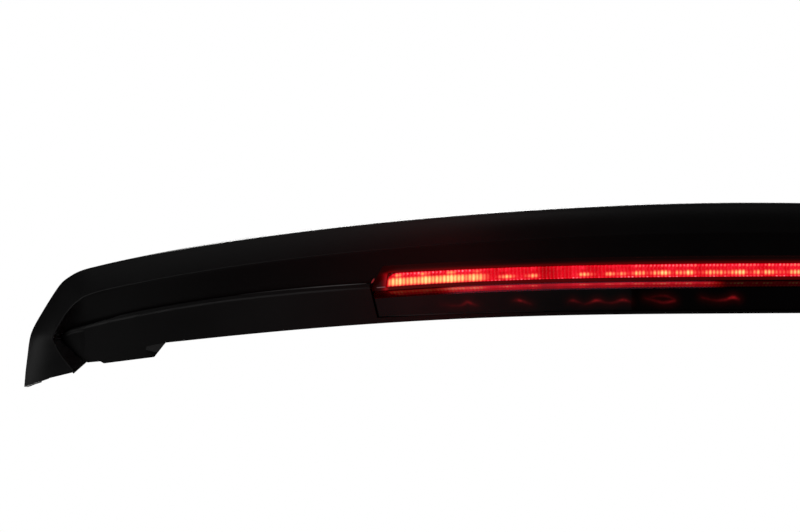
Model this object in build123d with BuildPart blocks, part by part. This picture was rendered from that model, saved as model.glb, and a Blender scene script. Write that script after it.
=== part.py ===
"""Rear spoiler of a large estate or off-road car, with a high-level brake lamp.

Millimetres. X runs across the car, Y runs forward along the car, Z is up.
The origin lies midway between the two inner mounting studs, on the plane of
their pads. The spoiler is the same on both sides of X = 0.
"""
import math
import os

from build123d import *

os.makedirs("parts", exist_ok=True)

# ------------------------------------------------------------------ sizes
wall = 3.0                 # outer skin thickness
low_wall = 2.8             # lower shell thickness
plan_radius = 2600.0       # sweep of the trailing edge seen from above
trailing_y = -134.0        # trailing edge at the middle
ridge_in = 20.0            # ridge ahead of the trailing edge
undercut = 34.0            # depth of the undercut at the middle
undercut_end = 22.0        # depth of the undercut at the ends
tuck = 6.4                 # undercut wall runs on behind the lower panel
ledge = 3.0                # lower panel stands this far behind the undercut
front_y = 112.0            # front edge at the middle
front_flange = 14.0        # turned-down front flange
ridge_round = 6.0
trail_round = 3.5
mount_x_inner, mount_y_inner, pad_z_inner = 160.0, 0.0, 0.0
mount_x_outer, mount_y_outer, pad_z_outer = 420.0, 18.0, -18.5
stud_r, stud_length = 3.0, 22.0
lamp_half = 313.0
led_count, led_pitch = 26, 23.3

# ------------------------------------------------------------------ curves
def poly(a, c0, c2, c3, c4):
    a = abs(a)
    return c0 + c2 * a**2 + c3 * a**3 + c4 * a**4

def z_ridge(x):
    return poly(x, 58.62, -2.085e-4, 2.468e-7, -2.978e-10)

def z_trail(x):
    return poly(x, 32.89, -1.6625e-4, 2.054e-7, -3.367e-10)

def z_ledge(x):
    return poly(x, -3.04, -3.178e-5, 0.0, -2.83e-10)

def z_bottom(x):
    return poly(x, -36.04, 1.247e-5, -4.061e-7, 3.716e-10)

def z_strip_top(x):
    return poly(x, 6.94, -4.124e-5, -1.2085e-7, 0.0)

def z_strip_bottom(x):
    return poly(x, -4.99, -1.363e-5, -2.263e-7, 0.0)

def z_lens_bottom(x):
    return poly(x, -33.37, 2.154e-5, -2.325e-7, 0.0)

def y_trail(x):
    return trailing_y + x * x / (2 * plan_radius)

def smooth(t):
    t = min(1.0, max(0.0, t))
    return t * t * (3 - 2 * t)

def undercut_at(x):
    return undercut - (undercut - undercut_end) * smooth((abs(x) - 400) / 190)

def y_ledge(x):
    return y_trail(x) + undercut_at(x)

def y_front(x):
    return front_y + x * x / 12000

def z_floor(x):
    return 3.0 + z_bottom(x) - z_bottom(0)

# Corner and winglet stations, from the roof side to below the tip:
# ridge x, ridge z, in-plane direction x and z, ridge y, ridge-to-edge length,
# edge y, edge-to-panel length, panel y, front y.
corner = [
    (-545.3, 10.3, 0.000, -1.000, -56.8, 23.1, -76.8, 25.5, -53.1, 136.8),
    (-560.0, 7.2, 0.059, -0.998, -53.7, 23.4, -74.0, 25.1, -51.4, 137.5),
    (-571.1, 4.5, 0.109, -0.994, -51.3, 24.5, -71.9, 23.7, -49.9, 137.5),
    (-579.5, 1.3, 0.153, -0.988, -49.4, 26.4, -70.3, 20.7, -48.7, 137.0),
    (-586.5, -2.7, 0.202, -0.979, -47.8, 27.8, -69.1, 17.2, -47.7, 136.0),
    (-592.1, -7.0, 0.245, -0.970, -46.6, 29.0, -68.1, 13.1, -46.8, 134.0),
    (-597.9, -14.1, 0.330, -0.944, -45.0, 28.1, -67.1, 9.1, -46.0, 131.0),
    (-604.7, -23.8, 0.492, -0.871, -42.4, 25.6, -65.9, 5.9, -44.5, 127.0),
    (-611.9, -34.7, 0.735, -0.678, -39.5, 23.6, -64.6, 4.0, -43.6, 122.0),
    (-618.2, -44.7, 0.925, -0.380, -36.7, 23.8, -63.5, 3.5, -42.9, 116.0),
    (-622.3, -52.8, 0.992, -0.126, -34.4, 25.6, -62.6, 3.9, -42.5, 110.0),
    (-624.5, -60.5, 0.998, 0.060, -32.6, 28.0, -61.9, 5.0, -42.4, 103.0),
    (-625.9, -68.3, 0.984, 0.178, -31.0, 31.5, -61.5, 6.5, -42.7, 96.0),
    (-627.3, -76.9, 0.967, 0.254, -29.4, 36.2, -61.4, 8.0, -43.1, 88.0),
    (-628.8, -86.0, 0.952, 0.306, -27.8, 42.0, -61.5, 9.1, -43.5, 80.0),
    (-630.0, -95.1, 0.939, 0.344, -26.2, 48.3, -61.7, 9.6, -43.8, 72.0),
    (-631.2, -105.2, 0.925, 0.380, -24.7, 55.4, -62.1, 10.0, -44.2, 63.0),
    (-632.4, -115.3, 0.913, 0.408, -23.1, 62.9, -62.4, 10.1, -44.6, 54.0),
]
span_x = (0, 60, 120, 180, 240, 300, 350, 400, 445, 485, 518)

def span_station(x):
    w = undercut_at(x)
    return (x, z_ridge(x), 0.0, -1.0, y_trail(x) + ridge_in,
            z_ridge(x) - z_trail(x), y_trail(x), z_trail(x) - z_ledge(x),
            y_trail(x) + w, y_front(x))

def flip(s):
    return (-s[0], s[1], -s[2]) + s[3:]

half = list(reversed(corner)) + [span_station(-x) for x in reversed(span_x)]
stations = half + [flip(s) for s in reversed(half[:-1])]

def offset_path(pts, t):
    """The open path moved t to its right-hand side, mitred."""
    lines = []
    for (x0, y0), (x1, y1) in zip(pts[:-1], pts[1:]):
        n = math.hypot(x1 - x0, y1 - y0)
        ox, oy = (y1 - y0) / n * t, -(x1 - x0) / n * t
        lines.append(((x0 + ox, y0 + oy), (x1 + ox, y1 + oy)))
    out = [lines[0][0]]
    for (a, b), (c, d) in zip(lines[:-1], lines[1:]):
        den = (b[0] - a[0]) * (d[1] - c[1]) - (b[1] - a[1]) * (d[0] - c[0])
        k = ((c[0] - a[0]) * (d[1] - c[1]) - (c[1] - a[1]) * (d[0] - c[0])) / den
        out.append((a[0] + k * (b[0] - a[0]), a[1] + k * (b[1] - a[1])))
    out.append(lines[-1][1])
    return out

def rounded(plane, pts, radii):
    """Face of a closed outline with each corner rounded to its own radius."""
    n = len(pts)
    ends = []
    for i in range(n):
        (ax, ay), (bx, by), (cx, cy) = pts[i - 1], pts[i], pts[(i + 1) % n]
        la, lc = math.hypot(ax - bx, ay - by), math.hypot(cx - bx, cy - by)
        ux, uy, vx, vy = (ax - bx) / la, (ay - by) / la, (cx - bx) / lc, (cy - by) / lc
        r = radii[i]
        if r == 0:
            ends.append(((bx, by), None, (bx, by)))
            continue
        dot = max(-1.0, min(1.0, ux * vx + uy * vy))
        ang = math.acos(dot)
        reach = min(r / math.tan(ang / 2), 0.42 * la, 0.42 * lc)
        r = reach * math.tan(ang / 2)
        hx, hy = ux + vx, uy + vy
        hl = math.hypot(hx, hy)
        far = r / math.sin(ang / 2)
        mx, my = bx + hx / hl * (far - r), by + hy / hl * (far - r)
        ends.append(((bx + ux * reach, by + uy * reach), (mx, my), (bx + vx * reach, by + vy * reach)))
    with BuildSketch(plane) as outline:
        with BuildLine():
            for i in range(n):
                first, mid, last = ends[i]
                if mid:
                    ThreePointArc(first, mid, last)
                Line(last, ends[(i + 1) % n][0])
        make_face()
    return outline.sketch.face()

def wing_section(s):
    rx, rz, dx, dz, ry, b, ty, u, qy, fy = s
    n = math.hypot(dx, dz)
    dx, dz = dx / n, dz / n
    turn = smooth((1 + dz) / 1.0)          # 0 on the span, 1 on the winglet
    k = (qy - ty + tuck * (1 - 0.8 * turn)) / (qy - ty)
    rise_front, rise_mid = 2.0 + 3.0 * turn, 4.0 + 1.5 * turn
    flange = front_flange - 4.0 * turn
    mid_y = ry + 0.52 * (fy - ry)
    outer = [(fy, rise_front - flange), (fy, rise_front), (mid_y, rise_mid),
             (ry, 0.0), (ty, -b), (ty + k * (qy - ty), -b - k * u)]
    inner = offset_path(outer, -wall)
    plane = Plane(origin=(rx, 0, rz), x_dir=(0, 1, 0), z_dir=(-dz, 0, dx))
    return plane, outer + inner[::-1]

# In each plane the second axis points out of the skin.
wing_radii = [0, 5, 500, ridge_round, trail_round, 0,
              0, 1.2, 3.0, 497, 2.0, 0]

def prism(points, y0, y1):
    """Solid of a rear-view outline between two depths."""
    with BuildPart() as p:
        with BuildSketch(Plane(origin=(0, y0, 0), x_dir=(1, 0, 0), z_dir=(0, -1, 0))):
            with BuildLine():
                Polyline(*points, close=True)
            make_face()
        extrude(amount=-(y1 - y0))
    return p.part

# ------------------------------------------------------------------ outer skin
winglet_cut = [(-670.0, -114.6), (-631.0, -101.5), (-603.4, -92.3), (-577.7, -86.0),
               (-566.0, -72.3), (-540.0, -72.3), (-540.0, -150.0), (-670.0, -150.0)]

def lamp_outline(grow, rise=5.5):
    """Rear-view outline of the lamp opening; grow widens it all round."""
    pts = []
    n = 12
    top_half = lamp_half - 7.0
    for i in range(n + 1):
        x = -top_half + 2 * top_half * i / n
        pts.append((x, z_strip_top(x) + rise + grow))
    pts.append((lamp_half + 2.6 + grow, -11.3))
    bottom_half = lamp_half - 4.0
    for i in range(n + 1):
        x = bottom_half - 2 * bottom_half * i / n
        pts.append((x + math.copysign(grow, x) * (abs(x) > bottom_half - 1), z_lens_bottom(x) - grow))
    pts.append((-lamp_half - 2.6 - grow, -11.3))
    return pts

face_q = 41.5              # lit face behind the trailing edge
lamp_x = [-330 + 55 * i for i in range(13)]

def run(x, pts):
    """Lamp section: pts are (depth behind the trailing edge, height)."""
    y0 = y_trail(x)
    return rounded(Plane(origin=(x, 0, 0), x_dir=(0, 1, 0), z_dir=(1, 0, 0)),
                   [(y0 + q, z) for q, z in pts], [0] * len(pts))

def bar(section):
    with BuildPart() as b:
        loft([run(x, section(x)) for x in lamp_x])
    return b.part

def block(q0, q1, low, high):
    return bar(lambda x: [(q0, low(x)), (q1, low(x)), (q1, high(x)), (q0, high(x))])

with BuildPart() as skin_hole:
    add(block(-30.0, face_q + 8.5, lambda x: -60.0, lambda x: 40.0))
    add(prism(lamp_outline(1.0), -170.0, -20.0), mode=Mode.INTERSECT)

with BuildPart() as panel_hole:
    add(block(-30.0, face_q - 2.3, lambda x: -60.0, lambda x: 40.0))
    add(prism(lamp_outline(1.0), -170.0, -20.0), mode=Mode.INTERSECT)

with BuildPart() as wing_skin:
    faces = [rounded(*wing_section(s), wing_radii) for s in stations]
    n_end = len(corner)
    loft(faces[n_end:-n_end])
    loft(faces[:n_end + 1], ruled=True)
    loft(faces[-n_end - 1:], ruled=True)
    add(prism(winglet_cut, -150, 160), mode=Mode.SUBTRACT)
    add(prism([(-x, z) for x, z in winglet_cut], -150, 160), mode=Mode.SUBTRACT)
    add(skin_hole.part, mode=Mode.SUBTRACT)

def keep(name, built):
    built.part.label = name
    export_step(built.part, "parts/" + name + ".step")

keep("wing_skin", wing_skin)

# ------------------------------------------------------------------ lower shell
skirt = 24.0
chamfer_in, chamfer_down = 1.6, 3.8    # along the top edge of the panel

def low_section(x):
    """Panel, skirt, floor and front flange of the lower shell at one x."""
    yq, ze, zb, zs = y_ledge(x), z_ledge(x), z_bottom(x), z_floor(x)
    ye = yq - ledge
    fall = (z_trail(x) - ze) / (yq - y_trail(x))
    lean = 5.0 / (ze - zb)
    t = low_wall
    ys = ye + 5.0 + lean * skirt
    yf = y_front(x) - wall - 0.4
    zf = z_ridge(x) - 14.0
    y_flat = 26.0 + x * x / 9000
    floor = [(ye + 5.0 + t, zb), (ye + 56.0, zb + 1.5), (ye + 66.0, zs),
             (y_flat, zs), (yf, zf), (yf, zf + 11.0)]
    top = offset_path(floor, -t)
    top[0] = (ye + 5.0 + t - lean * t, zb + t)
    pts = [(ye + chamfer_in, ze), (ye, ze - chamfer_down)]
    pts += [(ys, zb - skirt), (ys + t, zb - skirt)] + floor + top[::-1]
    pts += [(ye + t + 0.3, ze - 0.8 - 0.3 * fall), (yq - 0.6 / fall, ze)]
    return Plane(origin=(x, 0, 0), x_dir=(0, 1, 0), z_dir=(1, 0, 0)), pts

def low_flange(x):
    """Shelf inside the panel on which the undercut wall is bonded."""
    yq, ze, zb = y_ledge(x), z_ledge(x), z_bottom(x)
    fall = (z_trail(x) - ze) / (yq - y_trail(x))
    z = ze - fall * tuck - 0.6
    y = yq - ledge + 5.0 * (ze - z) / (ze - zb)
    return (Plane(origin=(x, 0, 0), x_dir=(0, 1, 0), z_dir=(1, 0, 0)),
            [(y + 1.4, z), (yq + 14.0, z), (yq + 14.0, z - 2.4), (y + 1.6, z - 2.4)])

low_radii = [0.5, 3.0, 0, 0, 0, 4, 5, 9, 4, 0, 0, 2, 9, 5, 4, 0, 0, 0.4]
low_x = (0, 70, 140, 210, 280, 345, 400, 445, 485, 520, 550, 575, 600)
low_x = [-x for x in reversed(low_x)] + list(low_x[1:])

panel_end = [(-526.0, z_ledge(526) + 0.3), (-538.0, -36.05), (-546.0, -38.87), (-552.0, -40.35),
             (-557.0, -41.74), (-564.0, -43.68), (-571.0, -45.59), (-577.0, -47.05),
             (-580.5, -47.85), (-583.4, -49.15), (-586.4, -50.55), (-589.2, -52.25),
             (-591.4, -54.2), (-592.4, -55.8), (-592.0, -57.0), (-590.2, -58.9),
             (-586.8, -62.2), (-582.8, -66.5), (-578.0, -71.3), (-572.4, -76.4),
             (-569.4, -78.7), (-567.0, -78.4), (-557.8, -77.6), (-554.5, -79.4),
             (-509.0, -73.7), (-498.4, -60.9)]
panel_keep = [(-508.0, 90.0), (-508.0, z_ledge(508) + 0.3)] + panel_end
panel_keep += [(x, z_bottom(x) - 0.7) for x in range(-480, 481, 20)]
panel_keep += [(-x, z) for x, z in reversed(panel_keep[:len(panel_end) + 2])]

with BuildPart() as reach:
    add(prism(panel_keep, -160, -24))
    with Locations((0, 68, 0)):
        Box(1104, 184, 260)

pads = [(sx * x, y, z) for x, y, z in ((mount_x_inner, mount_y_inner, pad_z_inner),
                                       (mount_x_outer, mount_y_outer, pad_z_outer))
        for sx in (-1, 1)]
pad_height = {pad_z_inner: 8.0, pad_z_outer: 13.0}
pin_x, pin_y = 300.0, 12.0
pin_face = z_floor(pin_x) - 3.0
grommet_x, grommet_y = 60.0, 4.0
screw_x, screw_in = (-230.0, -70.0, 70.0, 230.0), 66.0

def screw_spot(x):
    y = y_trail(x) + screw_in
    return (x, y, z_bottom(x) + 1.5 * (y - y_ledge(x) - 4.8) / 48.2)

with BuildPart() as lower_shell:
    loft([rounded(*low_section(x), low_radii) for x in low_x])
    add(reach.part, mode=Mode.INTERSECT)
    for side in (-1, 1):
        loft([rounded(*low_flange(side * x), [0, 0, 0, 0]) for x in (326, 360, 400, 445, 485, 520)])
    for side in (-1, 1):
        # closing wall at each end of the floor
        x = side * 548.0
        plane, pts = low_section(x)
        wall_pts = [((a + c) / 2, (b + d) / 2) for (a, b), (c, d) in zip(pts[5:9], pts[14:10:-1])]
        wall_pts += [(wall_pts[-1][0], z_ridge(x) - 5.0), (wall_pts[0][0] + 3.0, z_ridge(x) - 10.0)]
        with BuildSketch(Plane(origin=(x - 1.3, 0, 0), x_dir=(0, 1, 0), z_dir=(1, 0, 0))):
            with BuildLine():
                Polyline(*wall_pts, close=True)
            make_face()
        extrude(amount=2.6)
        # rib from the lug up to the floor
        with BuildSketch(Plane(origin=(side * 515.0, 0, 0), x_dir=(0, 1, 0), z_dir=(1, 0, 0))):
            with BuildLine():
                yl, zl = y_ledge(515) + 5.0, z_bottom(515)
                Polyline((yl + 1.5, zl + 1.0), (yl + 4.0, zl - 9.0), (yl + 26.0, zl + 1.0), close=True)
            make_face()
        extrude(amount=side * 3.0)
    for x, y, z in pads:
        with Locations((x, y, z + pad_height[z] / 2)):
            Box(56, 44 if z == pad_z_inner else 40, pad_height[z])
    for side in (-1, 1):
        with Locations((side * pin_x, pin_y, pin_face + 4.5)):
            Cylinder(11, 9)
    for x, y, z in pads:
        with Locations((x, y, z)):
            Cylinder(stud_r + 0.4, 60, mode=Mode.SUBTRACT)
            Cylinder(14.0, 4.0, mode=Mode.SUBTRACT)
    for side in (-1, 1):
        with Locations((side * pin_x, pin_y, pin_face)):
            Cylinder(3.1, 16, mode=Mode.SUBTRACT)
    with Locations((grommet_x, grommet_y, z_floor(grommet_x) + 1.4)):
        Cylinder(9.0, 14, mode=Mode.SUBTRACT)
    for x in screw_x:
        sx, sy, sz = screw_spot(x)
        with Locations((sx, sy, sz)):
            Cylinder(2.4, 20, mode=Mode.SUBTRACT)
        with Locations((sx, sy, sz + 0.6 - 4)):
            Cylinder(5.4, 8, mode=Mode.SUBTRACT)
    add(panel_hole.part, mode=Mode.SUBTRACT)
keep("lower_shell", lower_shell)

# ------------------------------------------------------------------ lamp
top, bottom, lens_low = z_strip_top, z_strip_bottom, z_lens_bottom

def ends(half_top, half_mid, half_low):
    """Rear-view limits of a lamp piece, slanted at both ends."""
    pts = [(-half_top, 40), (half_top, 40), (half_top, 5), (half_mid, -11.3),
           (half_low, -38), (half_low, -60), (-half_low, -60), (-half_low, -38),
           (-half_mid, -11.3), (-half_top, 5)]
    return prism(pts, -160, 20)

with BuildPart() as strip_lens:
    add(block(face_q - 0.3, face_q + 6.5, lambda x: bottom(x), lambda x: top(x)))
    add(block(face_q + 2.4, face_q + 5.0, lambda x: bottom(x) - 2.0, lambda x: top(x) + 3.0))
    add(prism([(-297, 20), (297, 20), (303.5, -20), (-303.5, -20)], -160, 20), mode=Mode.INTERSECT)
keep("strip_lens", strip_lens)

with BuildPart() as strip_window:
    add(block(face_q - 2, face_q + 4, lambda x: bottom(x) - 0.2, lambda x: top(x) + 0.2))
    add(prism([(-297.3, 20), (297.3, 20), (303.8, -20), (-303.8, -20)], -160, 20), mode=Mode.INTERSECT)

with BuildPart() as lamp_bezel:
    add(block(face_q, face_q + 2.2, lambda x: bottom(x) - 2.8, lambda x: top(x) + 7.6))
    add(block(24.6, face_q + 2.2, lambda x: top(x) + 5.6, lambda x: top(x) + 7.6))
    add(ends(lamp_half - 7.4, lamp_half + 1.6, lamp_half), mode=Mode.INTERSECT)
    add(strip_window.part, mode=Mode.SUBTRACT)
keep("lamp_bezel", lamp_bezel)

def lens_section(x):
    b, l = bottom(x), lens_low(x)
    q = face_q - 10.0
    return [(face_q - 0.3, b - 3.0), (q, b - 9.4), (q + 3.0, l), (q + 5.6, l),
            (q + 5.4, l + 1.6), (q + 14.0, l + 1.6), (q + 14.0, l + 4.0), (q + 5.0, l + 4.0),
            (q + 2.7, b - 10.6), (face_q - 0.3, b - 5.8)]

with BuildPart() as lower_lens:
    add(bar(lens_section))
    add(prism([(-307, 20), (307, 20), (lamp_half + 1.6, -11.3), (308.4, -38), (308.4, -60),
               (-308.4, -60), (-308.4, -38), (-lamp_half - 1.6, -11.3)], -160, 20), mode=Mode.INTERSECT)
keep("lower_lens", lower_lens)

back_q = 78.0
with BuildPart() as housing_room:
    add(block(face_q, back_q, lambda x: lens_low(x) + 6.8, lambda x: top(x) + 6.6))
    add(ends(lamp_half - 10.5, lamp_half - 3.5, lamp_half - 7.5), mode=Mode.INTERSECT)

with BuildPart() as lamp_housing:
    add(block(face_q + 2.6, back_q + 2.5, lambda x: lens_low(x) + 4.4, lambda x: top(x) + 9.0))
    add(ends(lamp_half - 8, lamp_half - 1, lamp_half - 5), mode=Mode.INTERSECT)
    add(housing_room.part, mode=Mode.SUBTRACT)
    for x in screw_x:
        sx, sy, sz = screw_spot(x)
        low = lens_low(x) + 4.4
        with Locations((sx, sy, low - 0.5 + 6.0)):
            Cylinder(4.5, 12)
        with Locations((sx, sy, low + 4.0)):
            Cylinder(2.05, 14, mode=Mode.SUBTRACT)
    with Locations((grommet_x, y_trail(grommet_x) + back_q, 10.5)):
        Box(16, 12, 5, mode=Mode.SUBTRACT)
keep("lamp_housing", lamp_housing)

with BuildPart() as reflector_room:
    add(block(face_q + 7.0, face_q + 22.8, lambda x: bottom(x) - 0.6, lambda x: top(x) + 0.6))
    add(ends(298, 303, 303), mode=Mode.INTERSECT)

with BuildPart() as lamp_reflector:
    add(block(face_q + 8.0, face_q + 24.0, lambda x: bottom(x) - 2.0, lambda x: top(x) + 2.0))
    add(ends(300, 305, 305), mode=Mode.INTERSECT)
    add(reflector_room.part, mode=Mode.SUBTRACT)
    for i in range(led_count):
        x = (i - (led_count - 1) / 2) * led_pitch
        with Locations((x, y_trail(x) + face_q + 23, (top(x) + bottom(x)) / 2)):
            Box(5.5, 6, 5.0, mode=Mode.SUBTRACT)
keep("lamp_reflector", lamp_reflector)

board_q = face_q + 25.0
with BuildPart() as led_board:
    add(block(board_q, board_q + 1.6, lambda x: bottom(x) - 2.5, lambda x: top(x) + 2.5))
    add(ends(296, 300, 300), mode=Mode.INTERSECT)
keep("led_board", led_board)

with BuildPart() as leds:
    for i in range(led_count):
        x = (i - (led_count - 1) / 2) * led_pitch
        turn = math.degrees(math.atan(x / plan_radius))
        with Locations(Location((x, y_trail(x) + board_q - 1.55, (top(x) + bottom(x)) / 2), (0, 0, turn))):
            Box(3.5, 2.6, 2.8)
keep("leds", leds)

with BuildPart() as led_resistors:
    for i in range(led_count // 2):
        x = (i - (led_count // 2 - 1) / 2) * 2 * led_pitch
        turn = math.degrees(math.atan(x / plan_radius))
        with Locations(Location((x, y_trail(x) + board_q + 2.3, (top(x) + bottom(x)) / 2), (0, 0, turn))):
            Box(3.2, 1.0, 1.6)
keep("led_resistors", led_resistors)

with BuildPart() as lamp_connector:
    yc = y_trail(grommet_x) + back_q + 3.0
    with Locations((grommet_x, yc + 8.0, 10.5)):
        Box(20, 16, 9.0)
    with Locations((grommet_x, yc - 2.4, 10.5)):
        Box(15, 5.4, 4.2)
    with Locations((grommet_x, yc + 11.0, 10.5)):
        Box(17, 12, 6.2, mode=Mode.SUBTRACT)
    for dx in (-4, 4):
        with Locations((grommet_x + dx, yc + 8.5, 10.5)):
            Box(1.8, 9, 0.8)
keep("lamp_connector", lamp_connector)

with BuildPart() as lamp_gasket:
    add(block(27.0, 33.0, lambda x: top(x) + 7.75, lambda x: top(x) + 11.5))
    add(ends(298, 300, 300), mode=Mode.INTERSECT)
keep("lamp_gasket", lamp_gasket)

with BuildPart() as lamp_screws:
    for x in screw_x:
        sx, sy, sz = screw_spot(x)
        seat = sz + 0.5
        with Locations((sx, sy, seat - 1.2)):
            Cylinder(4.4, 2.2)
        with Locations((sx, sy, seat + 6.4)):
            Cylinder(1.9, 13.0)
        with Locations((sx, sy, seat - 2.2)):
            Box(4.6, 1.0, 1.4, mode=Mode.SUBTRACT)
            Box(1.0, 4.6, 1.4, mode=Mode.SUBTRACT)
keep("lamp_screws", lamp_screws)

# ------------------------------------------------------------------ fixings
with BuildPart() as stud_plates:
    for x, y, z in pads:
        with Locations((x, y, z + pad_height[z] + 1.15)):
            Box(44, 32, 2.0)
            Cylinder(stud_r + 0.4, 8, mode=Mode.SUBTRACT)
keep("stud_plates", stud_plates)

with BuildPart() as mounting_studs:
    for x, y, z in pads:
        upper = z + pad_height[z] + 2.3
        with Locations((x, y, upper + 1.2)):
            Cylinder(8.0, 2.4)
        # plain shank through plate, pad and seal, then the thinner threaded end
        with Locations((x, y, (upper + z - 0.3) / 2)):
            Cylinder(stud_r + 0.25, upper - z + 0.3)
        with Locations((x, y, z - (stud_length + 0.3) / 2)):
            Cylinder(stud_r, stud_length - 0.3)
    chamfer(mounting_studs.edges().filter_by(GeomType.CIRCLE).group_by(Axis.Z)[0], 0.8)
    chamfer([e for e in mounting_studs.edges().filter_by(GeomType.CIRCLE)
             if abs(e.center().Z - (pad_z_inner - stud_length)) < 0.01 and abs(e.radius - stud_r) < 0.01], 0.8)
keep("mounting_studs", mounting_studs)

with BuildPart() as stud_seals:
    for x, y, z in pads:
        # pressed flush into the pad's recess, as fitted
        with Locations((x, y, z + 1.1)):
            Cylinder(13.6, 1.6)
            Cylinder(stud_r + 0.5, 10, mode=Mode.SUBTRACT)
keep("stud_seals", stud_seals)

with BuildPart() as locating_pins:
    for side in (-1, 1):
        with Locations((side * pin_x, pin_y, pin_face - 1.1)):
            Cylinder(9.0, 2.0)
        with Locations((side * pin_x, pin_y, pin_face - 7.1)):
            Cylinder(4.0, 10.0)
        with Locations((side * pin_x, pin_y, pin_face - 14.1)):
            Cone(2.2, 4.0, 4.0)
        with Locations((side * pin_x, pin_y, pin_face + 3.0)):
            Cylinder(2.9, 6.4)
keep("locating_pins", locating_pins)

with BuildPart() as foam_strips:
    for side in (-1, 1):
        loft([rounded(Plane(origin=(side * x, 0, 0), x_dir=(0, 1, 0), z_dir=(1, 0, 0)),
                      [(-6.0, z_floor(x) - 4.2), (14.0, z_floor(x) - 4.2),
                       (14.0, z_floor(x) - 0.2), (-6.0, z_floor(x) - 0.2)], [0] * 4)
              for x in (210, 230, 250, 270)])
keep("foam_strips", foam_strips)

with BuildPart() as cable_grommet:
    zg = z_floor(grommet_x) + 1.4
    with Locations((grommet_x, grommet_y, zg)):
        Cylinder(8.8, 8.0)
    with Locations((grommet_x, grommet_y, zg + 3.2), (grommet_x, grommet_y, zg - 3.2)):
        Cylinder(12.0, 2.4)
    with Locations((grommet_x, grommet_y, zg)):
        Cylinder(3.6, 20, mode=Mode.SUBTRACT)
keep("cable_grommet", cable_grommet)

def seal_section(x):
    y, z = y_front(x) + 0.25, z_ridge(x) + 2.0
    return rounded(Plane(origin=(x, 0, 0), x_dir=(0, 1, 0), z_dir=(1, 0, 0)),
                   [(y, z - 13.0), (y + 6.5, z - 13.5), (y + 5.0, z - 10.5), (y + 2.6, z - 9.5),
                    (y + 2.6, z - 5.5), (y, z - 5.5)], [0, 1.2, 0.8, 0.8, 0.8, 0])

with BuildPart() as front_seal:
    loft([seal_section(x) for x in [-x for x in reversed(span_x)] + list(span_x[1:])])
keep("front_seal", front_seal)
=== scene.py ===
"""Looks of the rear spoiler: clean outer skin, lit brake lamp, moulded plastics and a white studio."""

import math

import bpy
import numpy as np
from mathutils import Matrix, Vector


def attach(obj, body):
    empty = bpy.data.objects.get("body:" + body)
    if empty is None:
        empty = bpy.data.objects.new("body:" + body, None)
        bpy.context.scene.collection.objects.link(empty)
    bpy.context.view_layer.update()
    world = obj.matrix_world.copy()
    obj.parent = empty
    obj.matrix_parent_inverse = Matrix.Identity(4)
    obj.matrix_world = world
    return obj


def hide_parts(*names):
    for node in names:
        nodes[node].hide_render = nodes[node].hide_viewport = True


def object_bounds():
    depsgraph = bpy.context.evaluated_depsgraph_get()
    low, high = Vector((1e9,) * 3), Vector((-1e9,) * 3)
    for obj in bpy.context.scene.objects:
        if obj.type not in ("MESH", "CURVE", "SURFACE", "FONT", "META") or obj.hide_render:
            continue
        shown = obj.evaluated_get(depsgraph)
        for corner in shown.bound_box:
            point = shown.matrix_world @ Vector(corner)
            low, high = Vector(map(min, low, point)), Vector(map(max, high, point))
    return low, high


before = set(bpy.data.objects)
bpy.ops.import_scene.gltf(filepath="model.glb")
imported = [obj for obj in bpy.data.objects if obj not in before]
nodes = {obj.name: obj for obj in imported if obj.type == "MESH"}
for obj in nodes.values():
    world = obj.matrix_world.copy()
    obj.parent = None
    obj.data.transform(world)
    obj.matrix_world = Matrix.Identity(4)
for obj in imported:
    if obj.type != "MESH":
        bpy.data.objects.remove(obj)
cad_lo, cad_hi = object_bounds()
MM = 0.001

# ------------------------------------------------------------------ curves, mm, as in the CAD
TUCK, WALL = 6.4, 3.0
NOTCH_OUT, NOTCH_IN = -314.7, -304.4                      # slanted end of the lamp opening


def poly(x, c0, c2, c3, c4):
    a = np.abs(x)
    return c0 + c2 * a**2 + c3 * a**3 + c4 * a**4


def z_ridge(x):
    return poly(x, 58.62, -2.085e-4, 2.468e-7, -2.978e-10)


def z_trail(x):
    return poly(x, 32.89, -1.6625e-4, 2.054e-7, -3.367e-10)


def z_ledge(x):
    return poly(x, -3.04, -3.178e-5, 0.0, -2.83e-10)


def z_strip_top(x):
    return poly(x, 6.94, -4.124e-5, -1.2085e-7, 0.0)


def z_strip_bottom(x):
    return poly(x, -4.99, -1.363e-5, -2.263e-7, 0.0)


def z_lens_bottom(x):
    return poly(x, -33.37, 2.154e-5, -2.325e-7, 0.0)


def y_trail(x):
    return -134.0 + x * x / 5200.0


def ease(t):
    t = np.clip(t, 0.0, 1.0)
    return t * t * (3 - 2 * t)


def undercut_at(x):
    return 34.0 - 12.0 * ease((np.abs(x) - 400.0) / 190.0)


def y_front(x):
    return 112.0 + x * x / 12000.0


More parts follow.
